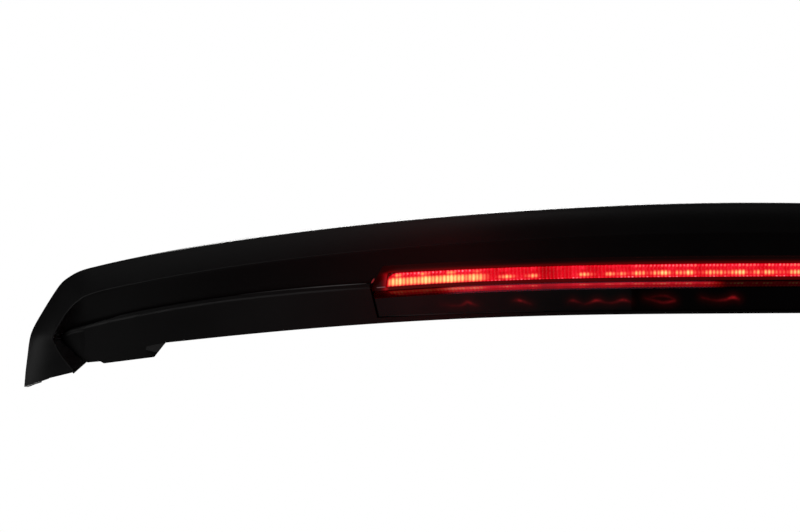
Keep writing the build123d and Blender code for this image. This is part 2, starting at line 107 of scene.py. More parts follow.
# Corner and winglet stations: ridge x and z, in-plane direction, ridge y,
# ridge-to-edge length, edge y, edge-to-panel length, panel y, front y.
CORNER = [
    (-545.3, 10.3, 0.000, -1.000, -56.8, 23.1, -76.8, 25.5, -53.1, 136.8),
    (-560.0, 7.2, 0.059, -0.998, -53.7, 23.4, -74.0, 25.1, -51.4, 137.5),
    (-571.1, 4.5, 0.109, -0.994, -51.3, 24.5, -71.9, 23.7, -49.9, 137.5),
    (-579.5, 1.3, 0.153, -0.988, -49.4, 26.4, -70.3, 20.7, -48.7, 137.0),
    (-586.5, -2.7, 0.202, -0.979, -47.8, 27.8, -69.1, 17.2, -47.7, 136.0),
    (-592.1, -7.0, 0.245, -0.970, -46.6, 29.0, -68.1, 13.1, -46.8, 134.0),
    (-597.9, -14.1, 0.330, -0.944, -45.0, 28.1, -67.1, 9.1, -46.0, 131.0),
    (-604.7, -23.8, 0.492, -0.871, -42.4, 25.6, -65.9, 5.9, -44.5, 127.0),
    (-611.9, -34.7, 0.735, -0.678, -39.5, 23.6, -64.6, 4.0, -43.6, 122.0),
    (-618.2, -44.7, 0.925, -0.380, -36.7, 23.8, -63.5, 3.5, -42.9, 116.0),
    (-622.3, -52.8, 0.992, -0.126, -34.4, 25.6, -62.6, 3.9, -42.5, 110.0),
    (-624.5, -60.5, 0.998, 0.060, -32.6, 28.0, -61.9, 5.0, -42.4, 103.0),
    (-625.9, -68.3, 0.984, 0.178, -31.0, 31.5, -61.5, 6.5, -42.7, 96.0),
    (-627.3, -76.9, 0.967, 0.254, -29.4, 36.2, -61.4, 8.0, -43.1, 88.0),
    (-628.8, -86.0, 0.952, 0.306, -27.8, 42.0, -61.5, 9.1, -43.5, 80.0),
    (-630.0, -95.1, 0.939, 0.344, -26.2, 48.3, -61.7, 9.6, -43.8, 72.0),
    (-631.2, -105.2, 0.925, 0.380, -24.7, 55.4, -62.1, 10.0, -44.2, 63.0),
    (-632.4, -115.3, 0.913, 0.408, -23.1, 62.9, -62.4, 10.1, -44.6, 54.0),
]
CUT = [(-670.0, -114.6), (-631.0, -101.5), (-603.4, -92.3), (-577.7, -86.0), (-566.0, -72.3), (-540.0, -72.3)]


def span_station(x):
    return (x, float(z_ridge(x)), 0.0, -1.0, y_trail(x) + 20.0, float(z_ridge(x) - z_trail(x)), y_trail(x),
            float(z_trail(x) - z_ledge(x)), y_trail(x) + float(undercut_at(x)), y_front(x))


def control(s):
    """The six corners of the skin's section at one station."""
    rx, rz, dx, dz, ry, b, ty, u, qy, fy = s
    ty = ty + 0.9                                         # the rounded edge lies within the sharp one
    n = math.hypot(dx, dz)
    dx, dz = dx / n, dz / n
    turn = float(ease(1 + dz))
    reach = TUCK * (1 - 0.8 * turn) + 9.0 * float(ease(turn * 6))    # runs on behind the panel at the corner
    k = (qy - ty + reach) / (qy - ty)
    rise_front, rise_mid = 2.0 + 3.0 * turn, 4.0 + 1.5 * turn
    flange = 14.0 - 4.0 * turn
    mid_y = ry + 0.52 * (fy - ry)
    flat = [(fy, rise_front - flange), (fy, rise_front), (mid_y, rise_mid),
            (ry, 0.0), (ty, -b), (ty + k * (qy - ty), -b - k * u)]
    return np.array([(rx - dx * v, y, rz - dz * v) for y, v in flat])


def spline(t, p):
    """Natural cubic spline through p at t."""
    n, h = len(t), np.diff(t)
    a, r = np.zeros((n, n)), np.zeros_like(p)
    a[0, 0] = a[-1, -1] = 1
    for i in range(1, n - 1):
        a[i, i - 1], a[i, i], a[i, i + 1] = h[i - 1], 2 * (h[i - 1] + h[i]), h[i]
        r[i] = 6 * ((p[i + 1] - p[i]) / h[i] - (p[i] - p[i - 1]) / h[i - 1])
    m = np.linalg.solve(a, r)

    def at(q):
        i = np.clip(np.searchsorted(t, q) - 1, 0, n - 2)
        e, f = ((t[i + 1] - q) / h[i])[:, None], ((q - t[i]) / h[i])[:, None]
        hh = (h[i] ** 2 / 6)[:, None]
        return e * p[i] + f * p[i + 1] + (e**3 - e) * hh * m[i] + (f**3 - f) * hh * m[i + 1]

    return at


def arc(a, b, c, r, n):
    """Points of the round of radius r at corner b."""
    u, v = a - b, c - b
    la, lc = np.linalg.norm(u), np.linalg.norm(v)
    u, v = u / la, v / lc
    ang = math.acos(float(np.clip(u @ v, -0.99999999, 1)))
    reach = min(r / math.tan(ang / 2), 0.42 * la, 0.42 * lc)
    p, q, w = b + u * reach, b + v * reach, math.sin(ang / 2)
    t = np.linspace(0, 1, n)[:, None]
    return ((1 - t) ** 2 * p + 2 * t * (1 - t) * w * b + t**2 * q) / ((1 - t) ** 2 + 2 * t * (1 - t) * w + t**2)


def between(p, q, n):
    """n points strictly between p and q."""
    t = (np.arange(1, n + 1) / (n + 1))[:, None]
    return p * (1 - t) + q * t


def profile(c, limit=1.0, bulge=0.5):
    """Outer path of one section, front flange to the end of the undercut."""
    c = c.copy()
    c[5] = c[4] + (c[5] - c[4]) * limit
    a1 = arc(c[0], c[1], c[2], 5.0, 5)
    a2 = arc(c[1], c[2], c[3], 500.0, 12)
    a3 = arc(c[2], c[3], c[4], 6.0, 8)
    a4 = arc(c[3], c[4], c[5], 1.0, 7)
    band = between(a3[-1], a4[0], 10)
    run = a4[0] - a3[-1]
    run = run / np.linalg.norm(run)
    out = (c[3] + c[4]) / 2 - c[2]
    out = out - (out @ run) * run
    t = np.arange(1, 11) / 11
    band = band + (4 * bulge * t * (1 - t))[:, None] * (out / np.linalg.norm(out))
    return np.vstack([c[0][None], between(c[0], a1[0], 2), a1, between(a1[-1], a2[0], 6), a2,
                      between(a2[-1], a3[0], 8), a3, band, a4, between(a4[-1], c[5], 11), c[5][None]])


def skin_grid():
    """Rows of points over the whole outer face, tip to tip."""
    lead = [span_station(x) for x in (-400.0, -445.0, -485.0, -518.0)]
    ctl = np.array([control(s) for s in lead + CORNER])
    step = (np.linalg.norm(np.diff(ctl[:, 3], axis=0), axis=1) + np.linalg.norm(np.diff(ctl[:, 4], axis=0), axis=1)) / 2
    t = np.concatenate([[0], np.cumsum(step)])
    at = spline(t, ctl.reshape(len(ctl), -1))
    q = np.linspace(t[3], t[-1], 700)
    swell = 0.5 + 1.7 * ease((q - t[9]) / (t[15] - t[9]))
    fine = np.array([profile(c, 1.0, w) for c, w in zip(at(q).reshape(-1, 6, 3), swell)])
    cut_x, cut_z = np.array(CUT).T
    below = fine[:, :, 2] - np.interp(fine[:, :, 0], cut_x, cut_z)
    steps = 96
    cols = np.zeros((steps, fine.shape[1], 3))
    for j in range(fine.shape[1]):
        hit = np.argmax(below[:, j] < 0)
        if hit == 0:
            end = q[-1]
        else:
            k = below[hit - 1, j] / (below[hit - 1, j] - below[hit, j])
            end = q[hit - 1] + k * (q[hit] - q[hit - 1])
        want = q[0] + (end - q[0]) * np.linspace(1, 0, steps + 1)[:-1]
        for a in range(3):
            cols[:, j, a] = np.interp(want, q, fine[:, j, a])
    xs = sorted(set(np.round(np.concatenate([np.linspace(-518, -330, 24), np.linspace(-330, NOTCH_OUT, 3),
                                             np.linspace(NOTCH_OUT, NOTCH_IN, 5), np.linspace(NOTCH_IN, 0, 40)]), 4)))
    span = []
    for x in xs:
        c = control(span_station(float(x)))
        notch = float(z_strip_top(NOTCH_IN)) + 6.5
        if x >= NOTCH_IN:
            low = float(z_strip_top(x)) + 6.5
        elif x > NOTCH_OUT:
            low = notch + (-11.3 - notch) * (NOTCH_IN - x) / (NOTCH_IN - NOTCH_OUT)
        else:
            low = -1e3
        limit = min(1.0, (c[4][2] - low) / (c[4][2] - c[5][2]))
        span.append(profile(c, limit, 1.7 - 1.2 * float(ease((abs(x) - 120.0) / 300.0))))
    half = np.concatenate([cols, np.array(span)])
    other = half[:-1][::-1] * np.array([-1.0, 1.0, 1.0])
    return np.concatenate([half, other])


def grid_normals(g):
    du, dv = np.gradient(g, axis=0), np.gradient(g, axis=1)
    n = np.cross(du, dv)
    n = n / np.maximum(np.linalg.norm(n, axis=2, keepdims=True), 1e-9)
    if n[len(g) // 2, 14, 2] < 0:
        n = -n
    return n


def new_mesh(name, verts, faces, smooth_angle=35.0):
    me = bpy.data.meshes.new(name)
    me.from_pydata([tuple(v) for v in verts], [], [tuple(f) for f in faces])
    me.validate()
    me.update()
    me.shade_smooth()
    me.set_sharp_from_angle(angle=math.radians(smooth_angle))
    ob = bpy.data.objects.new(name, me)
    bpy.context.scene.collection.objects.link(ob)
    return ob


def sheet_solid(name, outer, inner):
    """Closed shell between two grids of the same size."""
    nc, nr = outer.shape[:2]
    verts = np.concatenate([outer.reshape(-1, 3), inner.reshape(-1, 3)]) * MM
    i = np.arange(nc * nr).reshape(nc, nr)
    o = nc * nr
    quads = np.stack([i[:-1, :-1], i[:-1, 1:], i[1:, 1:], i[1:, :-1]], -1).reshape(-1, 4)
    a = verts[quads[0]]
    n = np.cross(a[1] - a[0], a[2] - a[0])
    if n @ (outer[0, 0] - inner[0, 0]) < 0:
        quads = quads[:, ::-1]
    faces = [tuple(f) for f in quads] + [tuple(f[::-1] + o) for f in quads]
    loop = np.concatenate([i[:, 0], i[-1, 1:], i[-2::-1, -1], i[0, -2:0:-1]])
    nxt = np.roll(loop, -1)
    rim = np.stack([loop, nxt, nxt + o, loop + o], -1)
    edges = {(int(f[k]), int(f[(k + 1) % 4])) for f in quads for k in range(4)}
    if (int(loop[0]), int(nxt[0])) in edges:
        rim = rim[:, ::-1]
    faces += [tuple(f) for f in rim]
    return new_mesh(name, verts, faces)


def loft(name, loops, smooth_angle=35.0):
    """Closed solid from equal closed loops, with an end cap each."""
    nc, nl = loops.shape[:2]
    verts = loops.reshape(-1, 3) * MM
    i = np.arange(nc * nl).reshape(nc, nl)
    j = np.roll(i, -1, axis=1)
    quads = np.stack([i[:-1], j[:-1], j[1:], i[1:]], -1).reshape(-1, 4)
    faces = [tuple(f) for f in quads] + [tuple(i[0][::-1]), tuple(i[-1])]
    ob = new_mesh(name, verts, faces, smooth_angle)
    import bmesh
    bm = bmesh.new()
    bm.from_mesh(ob.data)
    bmesh.ops.recalc_face_normals(bm, faces=bm.faces)
    bm.to_mesh(ob.data)
    bm.free()
    return ob


# ------------------------------------------------------------------ materials
def shader(name):
    m = bpy.data.materials.new(name)
    m.use_nodes = True
    nt = m.node_tree
    return m, nt, nt.nodes["Principled BSDF"]


def noise(nt, coord, scale, detail=2.0, rough=0.5):
    n = nt.nodes.new("ShaderNodeTexNoise")
    n.inputs["Scale"].default_value = scale
    n.inputs["Detail"].default_value = detail
    n.inputs["Roughness"].default_value = rough
    nt.links.new(coord, n.inputs["Vector"])
    return n


def ramp(nt, fac, stops):
    n = nt.nodes.new("ShaderNodeValToRGB")
    e = n.color_ramp.elements
    while len(e) < len(stops):
        e.new(0.5)
    for k, (pos, col) in zip(e, stops):
        k.position = pos
        k.color = (*col, 1.0)
    nt.links.new(fac, n.inputs["Fac"])
    return n


def spread(nt, value, low, high, frm=0.3, to=0.7):
    n = nt.nodes.new("ShaderNodeMapRange")
    n.inputs["From Min"].default_value = frm
    n.inputs["From Max"].default_value = to
    n.inputs["To Min"].default_value = low
    n.inputs["To Max"].default_value = high
    nt.links.new(value, n.inputs["Value"])
    return n


def moulded(name, base, rough, spec=0.5, grain_mm=0.7, grain=0.06, vary=0.25, rough_var=0.05, patch_mm=60.0,
            coat=0.0, metal=0.0, aniso=0.0):
    """Moulded or plated surface: fine grain, faint clouding and uneven sheen."""
    m, nt, b = shader(name)
    coord = nt.nodes.new("ShaderNodeTexCoord").outputs["Object"]
    cloud = noise(nt, coord, 1000.0 / patch_mm, 3.0)
    lo = tuple(c * (1 - vary) for c in base)
    hi = tuple(c * (1 + vary) for c in base)
    nt.links.new(ramp(nt, cloud.outputs["Fac"], [(0.3, lo), (0.7, hi)]).outputs["Color"], b.inputs["Base Color"])
    nt.links.new(spread(nt, cloud.outputs["Fac"], rough - rough_var, rough + rough_var).outputs["Result"], b.inputs["Roughness"])
    b.inputs["Specular IOR Level"].default_value = spec
    b.inputs["Metallic"].default_value = metal
    b.inputs["Coat Weight"].default_value = coat
    b.inputs["Anisotropic"].default_value = aniso
    fine = noise(nt, coord, 1000.0 / grain_mm, 2.0)
    bump = nt.nodes.new("ShaderNodeBump")
    bump.inputs["Strength"].default_value = grain
    bump.inputs["Distance"].default_value = grain_mm * MM * 0.5
    nt.links.new(fine.outputs["Fac"], bump.inputs["Height"])
    nt.links.new(bump.outputs["Normal"], b.inputs["Normal"])
    return m


satin = moulded("satin_black", (0.0105, 0.0102, 0.0106), 0.40, spec=0.24, grain_mm=0.9, grain=0.10, vary=0.10, rough_var=0.03)
lamp_black = moulded("lamp_black", (0.010, 0.010, 0.011), 0.55, spec=0.3, grain_mm=0.8, grain=0.2)
white_plastic = moulded("reflector_white", (0.80, 0.80, 0.78), 0.38, grain_mm=1.5, grain=0.05, vary=0.04)
zinc = moulded("zinc_steel", (0.55, 0.56, 0.57), 0.36, grain_mm=0.6, grain=0.12, vary=0.16, rough_var=0.1, patch_mm=8.0, metal=1.0)
rubber = moulded("seal_rubber", (0.014, 0.014, 0.014), 0.72, spec=0.3, grain_mm=0.5, grain=0.25, vary=0.2)
nylon = moulded("pin_nylon", (0.62, 0.60, 0.54), 0.42, grain_mm=0.8, grain=0.06, vary=0.05)
resistor = moulded("resistor_body", (0.02, 0.02, 0.025), 0.4, grain_mm=0.3, grain=0.1)


def foam_material():
    m, nt, b = shader("foam")
    coord = nt.nodes.new("ShaderNodeTexCoord").outputs["Object"]
    cell = nt.nodes.new("ShaderNodeTexVoronoi")
    cell.inputs["Scale"].default_value = 900.0
    nt.links.new(coord, cell.inputs["Vector"])
    nt.links.new(ramp(nt, cell.outputs["Distance"], [(0.05, (0.006, 0.006, 0.006)), (0.6, (0.04, 0.04, 0.042))]).outputs["Color"],
                 b.inputs["Base Color"])
    b.inputs["Roughness"].default_value = 0.95
    bump = nt.nodes.new("ShaderNodeBump")
    bump.inputs["Strength"].default_value = 0.6
    bump.inputs["Distance"].default_value = 0.0006
    nt.links.new(cell.outputs["Distance"], bump.inputs["Height"])
    nt.links.new(bump.outputs["Normal"], b.inputs["Normal"])
    return m


def board_material():
    m, nt, b = shader("circuit_board")
    coord = nt.nodes.new("ShaderNodeTexCoord").outputs["Object"]
    brick = nt.nodes.new("ShaderNodeTexBrick")
    brick.inputs["Scale"].default_value = 90.0
    brick.inputs["Color1"].default_value = (0.72, 0.72, 0.70, 1)
    brick.inputs["Color2"].default_value = (0.66, 0.67, 0.66, 1)
    brick.inputs["Mortar"].default_value = (0.45, 0.42, 0.30, 1)
    brick.inputs["Mortar Size"].default_value = 0.03
    nt.links.new(coord, brick.inputs["Vector"])
    nt.links.new(brick.outputs["Color"], b.inputs["Base Color"])
    b.inputs["Roughness"].default_value = 0.35
    return m


def math_node(nt, op, a, b=None):
    n = nt.nodes.new("ShaderNodeMath")
    n.operation = op
    for i, v in enumerate((a, b)):
        if v is None:
            continue
        if isinstance(v, (int, float)):
            n.inputs[i].default_value = v
        else:
            nt.links.new(v, n.inputs[i])
    return n.outputs[0]


def attribute(nt, name):
    n = nt.nodes.new("ShaderNodeAttribute")
    n.attribute_name = name
    return n.outputs["Fac"]


def mixed(nt, fac, a, b):
    n = nt.nodes.new("ShaderNodeMix")
    n.data_type = "RGBA"
    nt.links.new(fac, n.inputs["Factor"])
    nt.links.new(a, n.inputs["A"])
    nt.links.new(b, n.inputs["B"])
    return n.outputs["Result"]


def strip_material():
    """Lit red optic: a red field from "light", yellow-white hot spots from "hot_spot"."""
    m, nt, b = shader("red_optic")
    coord = nt.nodes.new("ShaderNodeTexCoord").outputs["Object"]
    speck = spread(nt, noise(nt, coord, 620.0, 2.0).outputs["Fac"], 0.90, 1.10).outputs["Result"]
    red = ramp(nt, math_node(nt, "MULTIPLY", attribute(nt, "light"), speck),
               [(0.0, (0.012, 0.0, 0.0)), (0.15, (0.06, 0.0, 0.0002)), (0.35, (0.44, 0.0004, 0.0030)),
                (0.52, (0.78, 0.0035, 0.0120)), (0.66, (0.98, 0.012, 0.034)), (0.82, (1.05, 0.11, 0.15)),
                (1.0, (1.10, 0.36, 0.40))])
    hot = ramp(nt, math_node(nt, "MULTIPLY", attribute(nt, "hot_spot"), speck),
               [(0.0, (0.95, 0.010, 0.020)), (0.3, (1.0, 0.12, 0.07)), (0.6, (1.05, 0.42, 0.13)), (1.0, (1.12, 0.82, 0.30))])
    fac = spread(nt, attribute(nt, "hot_spot"), 0.0, 1.0, 0.05, 0.30).outputs["Result"]
    nt.links.new(mixed(nt, fac, red.outputs["Color"], hot.outputs["Color"]), b.inputs["Emission Color"])
    b.inputs["Emission Strength"].default_value = 1.0
    cloud = noise(nt, coord, 60.0, 2.0)
    nt.links.new(ramp(nt, cloud.outputs["Fac"], [(0.3, (0.05, 0.001, 0.002)), (0.7, (0.08, 0.002, 0.003))]).outputs["Color"],
                 b.inputs["Base Color"])
    b.inputs["Roughness"].default_value = 0.18
    b.inputs["Specular IOR Level"].default_value = 0.35
    return m


def smoked_material():
    """Smoked lens face: painted reflections of the lit strip as faint arcs from "light", and a body made paler by a
    painted sheen from "body".
    """
    m, nt, b = shader("smoked_lens")
    coord = nt.nodes.new("ShaderNodeTexCoord").outputs["Object"]
    speck = spread(nt, noise(nt, coord, 300.0, 2.0).outputs["Fac"], 0.88, 1.12).outputs["Result"]
    # emission paints the reflected arcs
    arcs = ramp(nt, math_node(nt, "MULTIPLY", attribute(nt, "light"), speck),
                [(0.0, (0.0, 0.0, 0.0)), (0.25, (0.010, 0.0001, 0.0002)), (0.5, (0.045, 0.0012, 0.0018)),
                 (1.0, (0.28, 0.0060, 0.0080))])
    nt.links.new(arcs.outputs["Color"], b.inputs["Emission Color"])
    b.inputs["Emission Strength"].default_value = 1.0
    cloud = noise(nt, coord, 25.0, 2.0)
    # body colour: dark, up to a paler painted sheen where "body" is high
    dark = ramp(nt, cloud.outputs["Fac"], [(0.3, (0.0040, 0.0020, 0.0022)), (0.7, (0.0054, 0.0030, 0.0032))])
    pale = ramp(nt, cloud.outputs["Fac"], [(0.3, (0.0155, 0.0225, 0.0235)), (0.7, (0.0180, 0.0262, 0.0270))])
    nt.links.new(mixed(nt, attribute(nt, "body"), dark.outputs["Color"], pale.outputs["Color"]), b.inputs["Base Color"])
    b.inputs["Roughness"].default_value = 0.16
    b.inputs["Specular IOR Level"].default_value = 0.22
    return m


def ledge_material():
    """Polished sloping top of the smoked lens; its colour holds a painted reflection of the lit strip, brightest where
    the reflection attribute is high.
    """
    m, nt, b = shader("lens_ledge")
    coord = nt.nodes.new("ShaderNodeTexCoord").outputs["Object"]
    wave = spread(nt, noise(nt, coord, 45.0, 2.0).outputs["Fac"], 0.92, 1.08).outputs["Result"]
    # painted reflection in the base colour, dark red to pink
    tint = ramp(nt, math_node(nt, "MULTIPLY", attribute(nt, "strip_reflection"), wave),
                [(0.0, (0.012, 0.006, 0.007)), (0.15, (0.15, 0.003, 0.008)), (0.4, (0.36, 0.040, 0.080)), (1.0, (0.78, 0.24, 0.42))])
    nt.links.new(tint.outputs["Color"], b.inputs["Base Color"])
    b.inputs["Metallic"].default_value = 0.65
    b.inputs["Specular IOR Level"].default_value = 0.08
    nt.links.new(spread(nt, noise(nt, coord, 140.0, 1.0).outputs["Fac"], 0.05, 0.09).outputs["Result"], b.inputs["Roughness"])
    return m


def bezel_material():
    """Black frame with a painted red glow of the lit strip close around it."""
    m, nt, b = shader("bezel_black")
    coord = nt.nodes.new("ShaderNodeTexCoord").outputs["Object"]
    xyz = nt.nodes.new("ShaderNodeSeparateXYZ")
    nt.links.new(coord, xyz.inputs[0])
    a = math_node(nt, "MULTIPLY", math_node(nt, "ABSOLUTE", xyz.outputs["X"]), 1000.0)
    z = math_node(nt, "MULTIPLY", xyz.outputs["Z"], 1000.0)
    a2 = math_node(nt, "MULTIPLY", a, a)
    a3 = math_node(nt, "MULTIPLY", a2, a)

    def curve(c0, c2, c3):
        return math_node(nt, "ADD", math_node(nt, "ADD", math_node(nt, "MULTIPLY", a2, c2), math_node(nt, "MULTIPLY", a3, c3)), c0)

    # painted red glow, fading with distance above the strip, below it and past its end
    above = math_node(nt, "SUBTRACT", z, curve(6.94, -4.124e-5, -1.2085e-7))
    below = math_node(nt, "SUBTRACT", curve(-4.99, -1.363e-5, -2.263e-7), z)
    past = math_node(nt, "SUBTRACT", a, 299.0)
    far = math_node(nt, "MAXIMUM", math_node(nt, "MULTIPLY", past, 0.42), 0.0)
    rise = spread(nt, math_node(nt, "ADD", above, far), 0.0, 1.0, -1.0, 9.0).outputs["Result"]
    up_mid = ramp(nt, rise, [(0.08, (0.16, 0.0006, 0.0014)), (0.18, (0.085, 0.0004, 0.0008)), (0.34, (0.018, 0.0006, 0.0006)),
                             (0.50, (0.0045, 0.0010, 0.0010)), (1.0, (0.0022, 0.0009, 0.0009))])
    up_hot = ramp(nt, rise, [(0.08, (0.20, 0.0010, 0.0016)), (0.18, (0.10, 0.0008, 0.0010)), (0.34, (0.026, 0.0010, 0.0010)),
                             (0.50, (0.0150, 0.0011, 0.0011)), (1.0, (0.0090, 0.0011, 0.0011))])
    hot = spread(nt, a, 0.0, 1.0, 190.0, 245.0).outputs["Result"]
    up = mixed(nt, hot, up_mid.outputs["Color"], up_hot.outputs["Color"])
    down = ramp(nt, spread(nt, math_node(nt, "ADD", below, far), 0.0, 1.0, -1.0, 9.0).outputs["Result"],
                [(0.10, (0.075, 0.0002, 0.0004)), (0.4, (0.060, 0.0001, 0.0003)), (0.9, (0.012, 0.0, 0.0))])
    # painted glow on the end of the frame past the strip's end
    side = ramp(nt, spread(nt, past, 0.0, 1.0, 0.0, 14.0).outputs["Result"],
                [(0.0, (0.42, 0.005, 0.009)), (0.21, (0.32, 0.004, 0.007)), (0.34, (0.16, 0.001, 0.003)),
                 (0.46, (0.062, 0.0005, 0.001)), (0.58, (0.024, 0.0003, 0.0005)), (0.71, (0.012, 0.0003, 0.0004)),
                 (1.0, (0.008, 0.0003, 0.0003))])
    is_below = spread(nt, below, 0.0, 1.0, -1.5, 0.5).outputs["Result"]
    glow = mixed(nt, is_below, up, down.outputs["Color"])
    within = spread(nt, above, 1.0, 0.0, -2.5, 1.0).outputs["Result"]
    end = math_node(nt, "MULTIPLY", spread(nt, past, 0.0, 1.0, 0.5, 4.0).outputs["Result"], within)
    glow = mixed(nt, end, glow, side.outputs["Color"])
    nt.links.new(glow, b.inputs["Emission Color"])
    b.inputs["Emission Strength"].default_value = 1.0
    cloud = noise(nt, coord, 30.0, 2.0)
    nt.links.new(ramp(nt, cloud.outputs["Fac"], [(0.3, (0.0060, 0.0056, 0.0058)), (0.7, (0.0080, 0.0076, 0.0078))]).outputs["Color"],
                 b.inputs["Base Color"])
    nt.links.new(spread(nt, cloud.outputs["Fac"], 0.36, 0.46).outputs["Result"], b.inputs["Roughness"])
    b.inputs["Specular IOR Level"].default_value = 0.2
    return m


def painted_glint_material(name, colour, strength):
    """Painted glint: emission for the highlight of a polished edge, with an uneven shine."""
    m, nt, b = shader(name)
    coord = nt.nodes.new("ShaderNodeTexCoord").outputs["Object"]
    cloud = noise(nt, coord, 400.0, 2.0)
    lo = tuple(c * 0.7 for c in colour)
    nt.links.new(ramp(nt, cloud.outputs["Fac"], [(0.35, lo), (0.65, colour)]).outputs["Color"], b.inputs["Emission Color"])
    b.inputs["Emission Strength"].default_value = strength
    nt.links.new(ramp(nt, cloud.outputs["Fac"], [(0.35, (0.05, 0.01, 0.01)), (0.65, (0.08, 0.02, 0.02))]).outputs["Color"],
                 b.inputs["Base Color"])
    b.inputs["Roughness"].default_value = 0.15
    return m


red_optic = strip_material()
smoked = smoked_material()
ledge_gloss = ledge_material()
led_resin = moulded("led_resin", (0.85, 0.78, 0.45), 0.25, grain_mm=0.4, grain=0.05, vary=0.08)

finish = {
    "wing_skin": satin, "lower_shell": satin, "front_seal": rubber, "strip_lens": red_optic, "lower_lens": smoked,
    "lamp_bezel": bezel_material(), "lamp_housing": lamp_black, "lamp_reflector": white_plastic, "led_board": board_material(),
    "leds": led_resin, "led_resistors": resistor, "lamp_connector": lamp_black, "lamp_gasket": rubber,
    "lamp_screws": zinc, "stud_plates": zinc, "mounting_studs": zinc, "stud_seals": rubber, "locating_pins": nylon,
    "foam_strips": foam_material(), "cable_grommet": rubber,
}
for name, ob in nodes.items():
    ob.data.materials.clear()
    ob.data.materials.append(finish[name])


def wear(piece, node_name, material):
    piece.data.materials.clear()
    piece.data.materials.append(material)
    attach(piece, "root")
    if node_name:
        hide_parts(node_name)
    return piece


# ------------------------------------------------------------------ outer skin
low_end, high_end = np.array(cad_lo) / MM, np.array(cad_hi) / MM
outer = skin_grid()
inner = np.clip(outer - grid_normals(outer) * WALL, low_end, high_end)
skin = sheet_solid("skin_outer", np.clip(outer, low_end, high_end), inner)
wear(skin, "wing_skin", satin)

# ------------------------------------------------------------------ lamp
FACE = 41.5
PITCH = 23.3
FLUTE = 3.2


def place(x, q, z):
    return np.stack([x, y_trail(x) + q, z], -1)


def strip_half(z):
    return 297.0 + (20.0 - z) * 6.5 / 40.0


def bell(t, width):
    return np.exp(-((t / width) ** 2))


def strip_light(x, v, z):
    """Red field and yellow-white heat of the lit face, from its rows of dots and diode spots."""
    rng = np.random.default_rng(7)
    cell = np.floor(x / FLUTE).astype(int) + 400
    phase = x / FLUTE - np.floor(x / FLUTE)
    r = [rng.uniform(0, 1, 800)[cell] for _ in range(5)]
    a = np.abs(x)
    rib = bell(phase - 0.5, 0.30)
    lead = np.interp(x, [-291.25, 35.0], [0.0, -5.2])       # diodes lie deeper than the face
    d = (x - lead) / PITCH - 0.5
    diode = bell(d - np.round(d), 0.19)
    outer = ease((a - 206.0) / 22.0)
    inner = 1 - ease((a - 78.0) / 14.0)
    middle = np.clip(1 - outer - inner, 0, 1)
    spots = sum(w * bell(a - c, k) for c, k, w in ((196.3, 7.5, 0.85), (175.0, 6.0, 0.75), (128.9, 7.0, 0.9),
                                                   (108.1, 4.0, 0.95), (96.8, 5.0, 0.6), (83.5, 4.5, 0.7)))
    calm = bell(a - 160.0, 13.0)                            # a stretch with no diode spots
    wander = np.sin(a / 7.3 + 1.0) + np.sin(a / 3.1 + 2.0) * 0.6
    field = 0.50 + 0.035 * wander + 0.05 * (r[0] - 0.5) + 0.03 * inner + 0.04 * outer - 0.09 * calm
    field = field * (0.985 + 0.015 * rib) + 0.05 * bell(v - 0.62, 0.12) * (r[4] - 0.4)

    row_high = bell(v - 0.86, 0.085)
    dots = rib * (0.14 + 0.36 * r[1] + 0.22 * diode)
    light = field + row_high * dots * (outer + inner * 1.15)
    light = light + middle * (0.30 * bell(v - 0.965, 0.035) * rib * r[1] + 0.17 * bell(v - 0.885, 0.028) * (0.4 + 0.6 * r[3])
                              + 0.20 * diode * bell(v - 0.78, 0.10) * r[3])
    light = light + (middle + inner) * bell(v - 0.055, 0.045) * rib * (0.10 + 0.42 * r[2])

    low = np.exp(-(((v - 0.33) / 0.27) ** 4))
    heat = outer * low * (0.42 + 0.58 * rib) * (0.48 + 0.50 * r[3] + 0.40 * diode)
    heat = heat + outer * diode * (0.35 + 0.5 * r[1]) * bell(v - 0.80, 0.13) * (0.5 + 0.5 * rib)
    heat = heat + middle * bell(v - 0.30, 0.15) * np.clip(spots, 0, 1) * (0.35 + 0.65 * rib) * (0.55 + 0.6 * r[3])
    heat = heat + inner * bell(v - 0.33, 0.17) * (0.25 + 0.75 * rib) * (0.14 + 0.66 * r[3] + 0.50 * diode)
    heat = heat + inner * row_high * rib * (0.05 + 0.38 * r[1] * r[1] + 0.25 * diode)
    light = light + middle * 0.12 * bell(v - 0.30, 0.2) * rib * r[2]

    e, h = strip_half(z) - a, (1 - v) * (z_strip_top(x) - z_strip_bottom(x))
    corner = np.hypot(np.clip(9.0 - e, 0, None) / 9.0, np.clip(7.0 - h, 0, None) / 7.0)
    keep = ease((1.06 - corner) / 0.22)
    edge = ease((v + 0.02) / 0.05) * ease((1.03 - v) / 0.07)
    return np.clip(light * edge * (0.22 + 0.78 * keep), 0, 1), np.clip(heat * edge * ease((1.0 - corner) / 0.3), 0, 1)


def set_values(ob, name, values):
    at = ob.data.attributes.new(name, "FLOAT", "POINT")
    at.data.foreach_set("value", np.asarray(values, np.float32).reshape(-1))


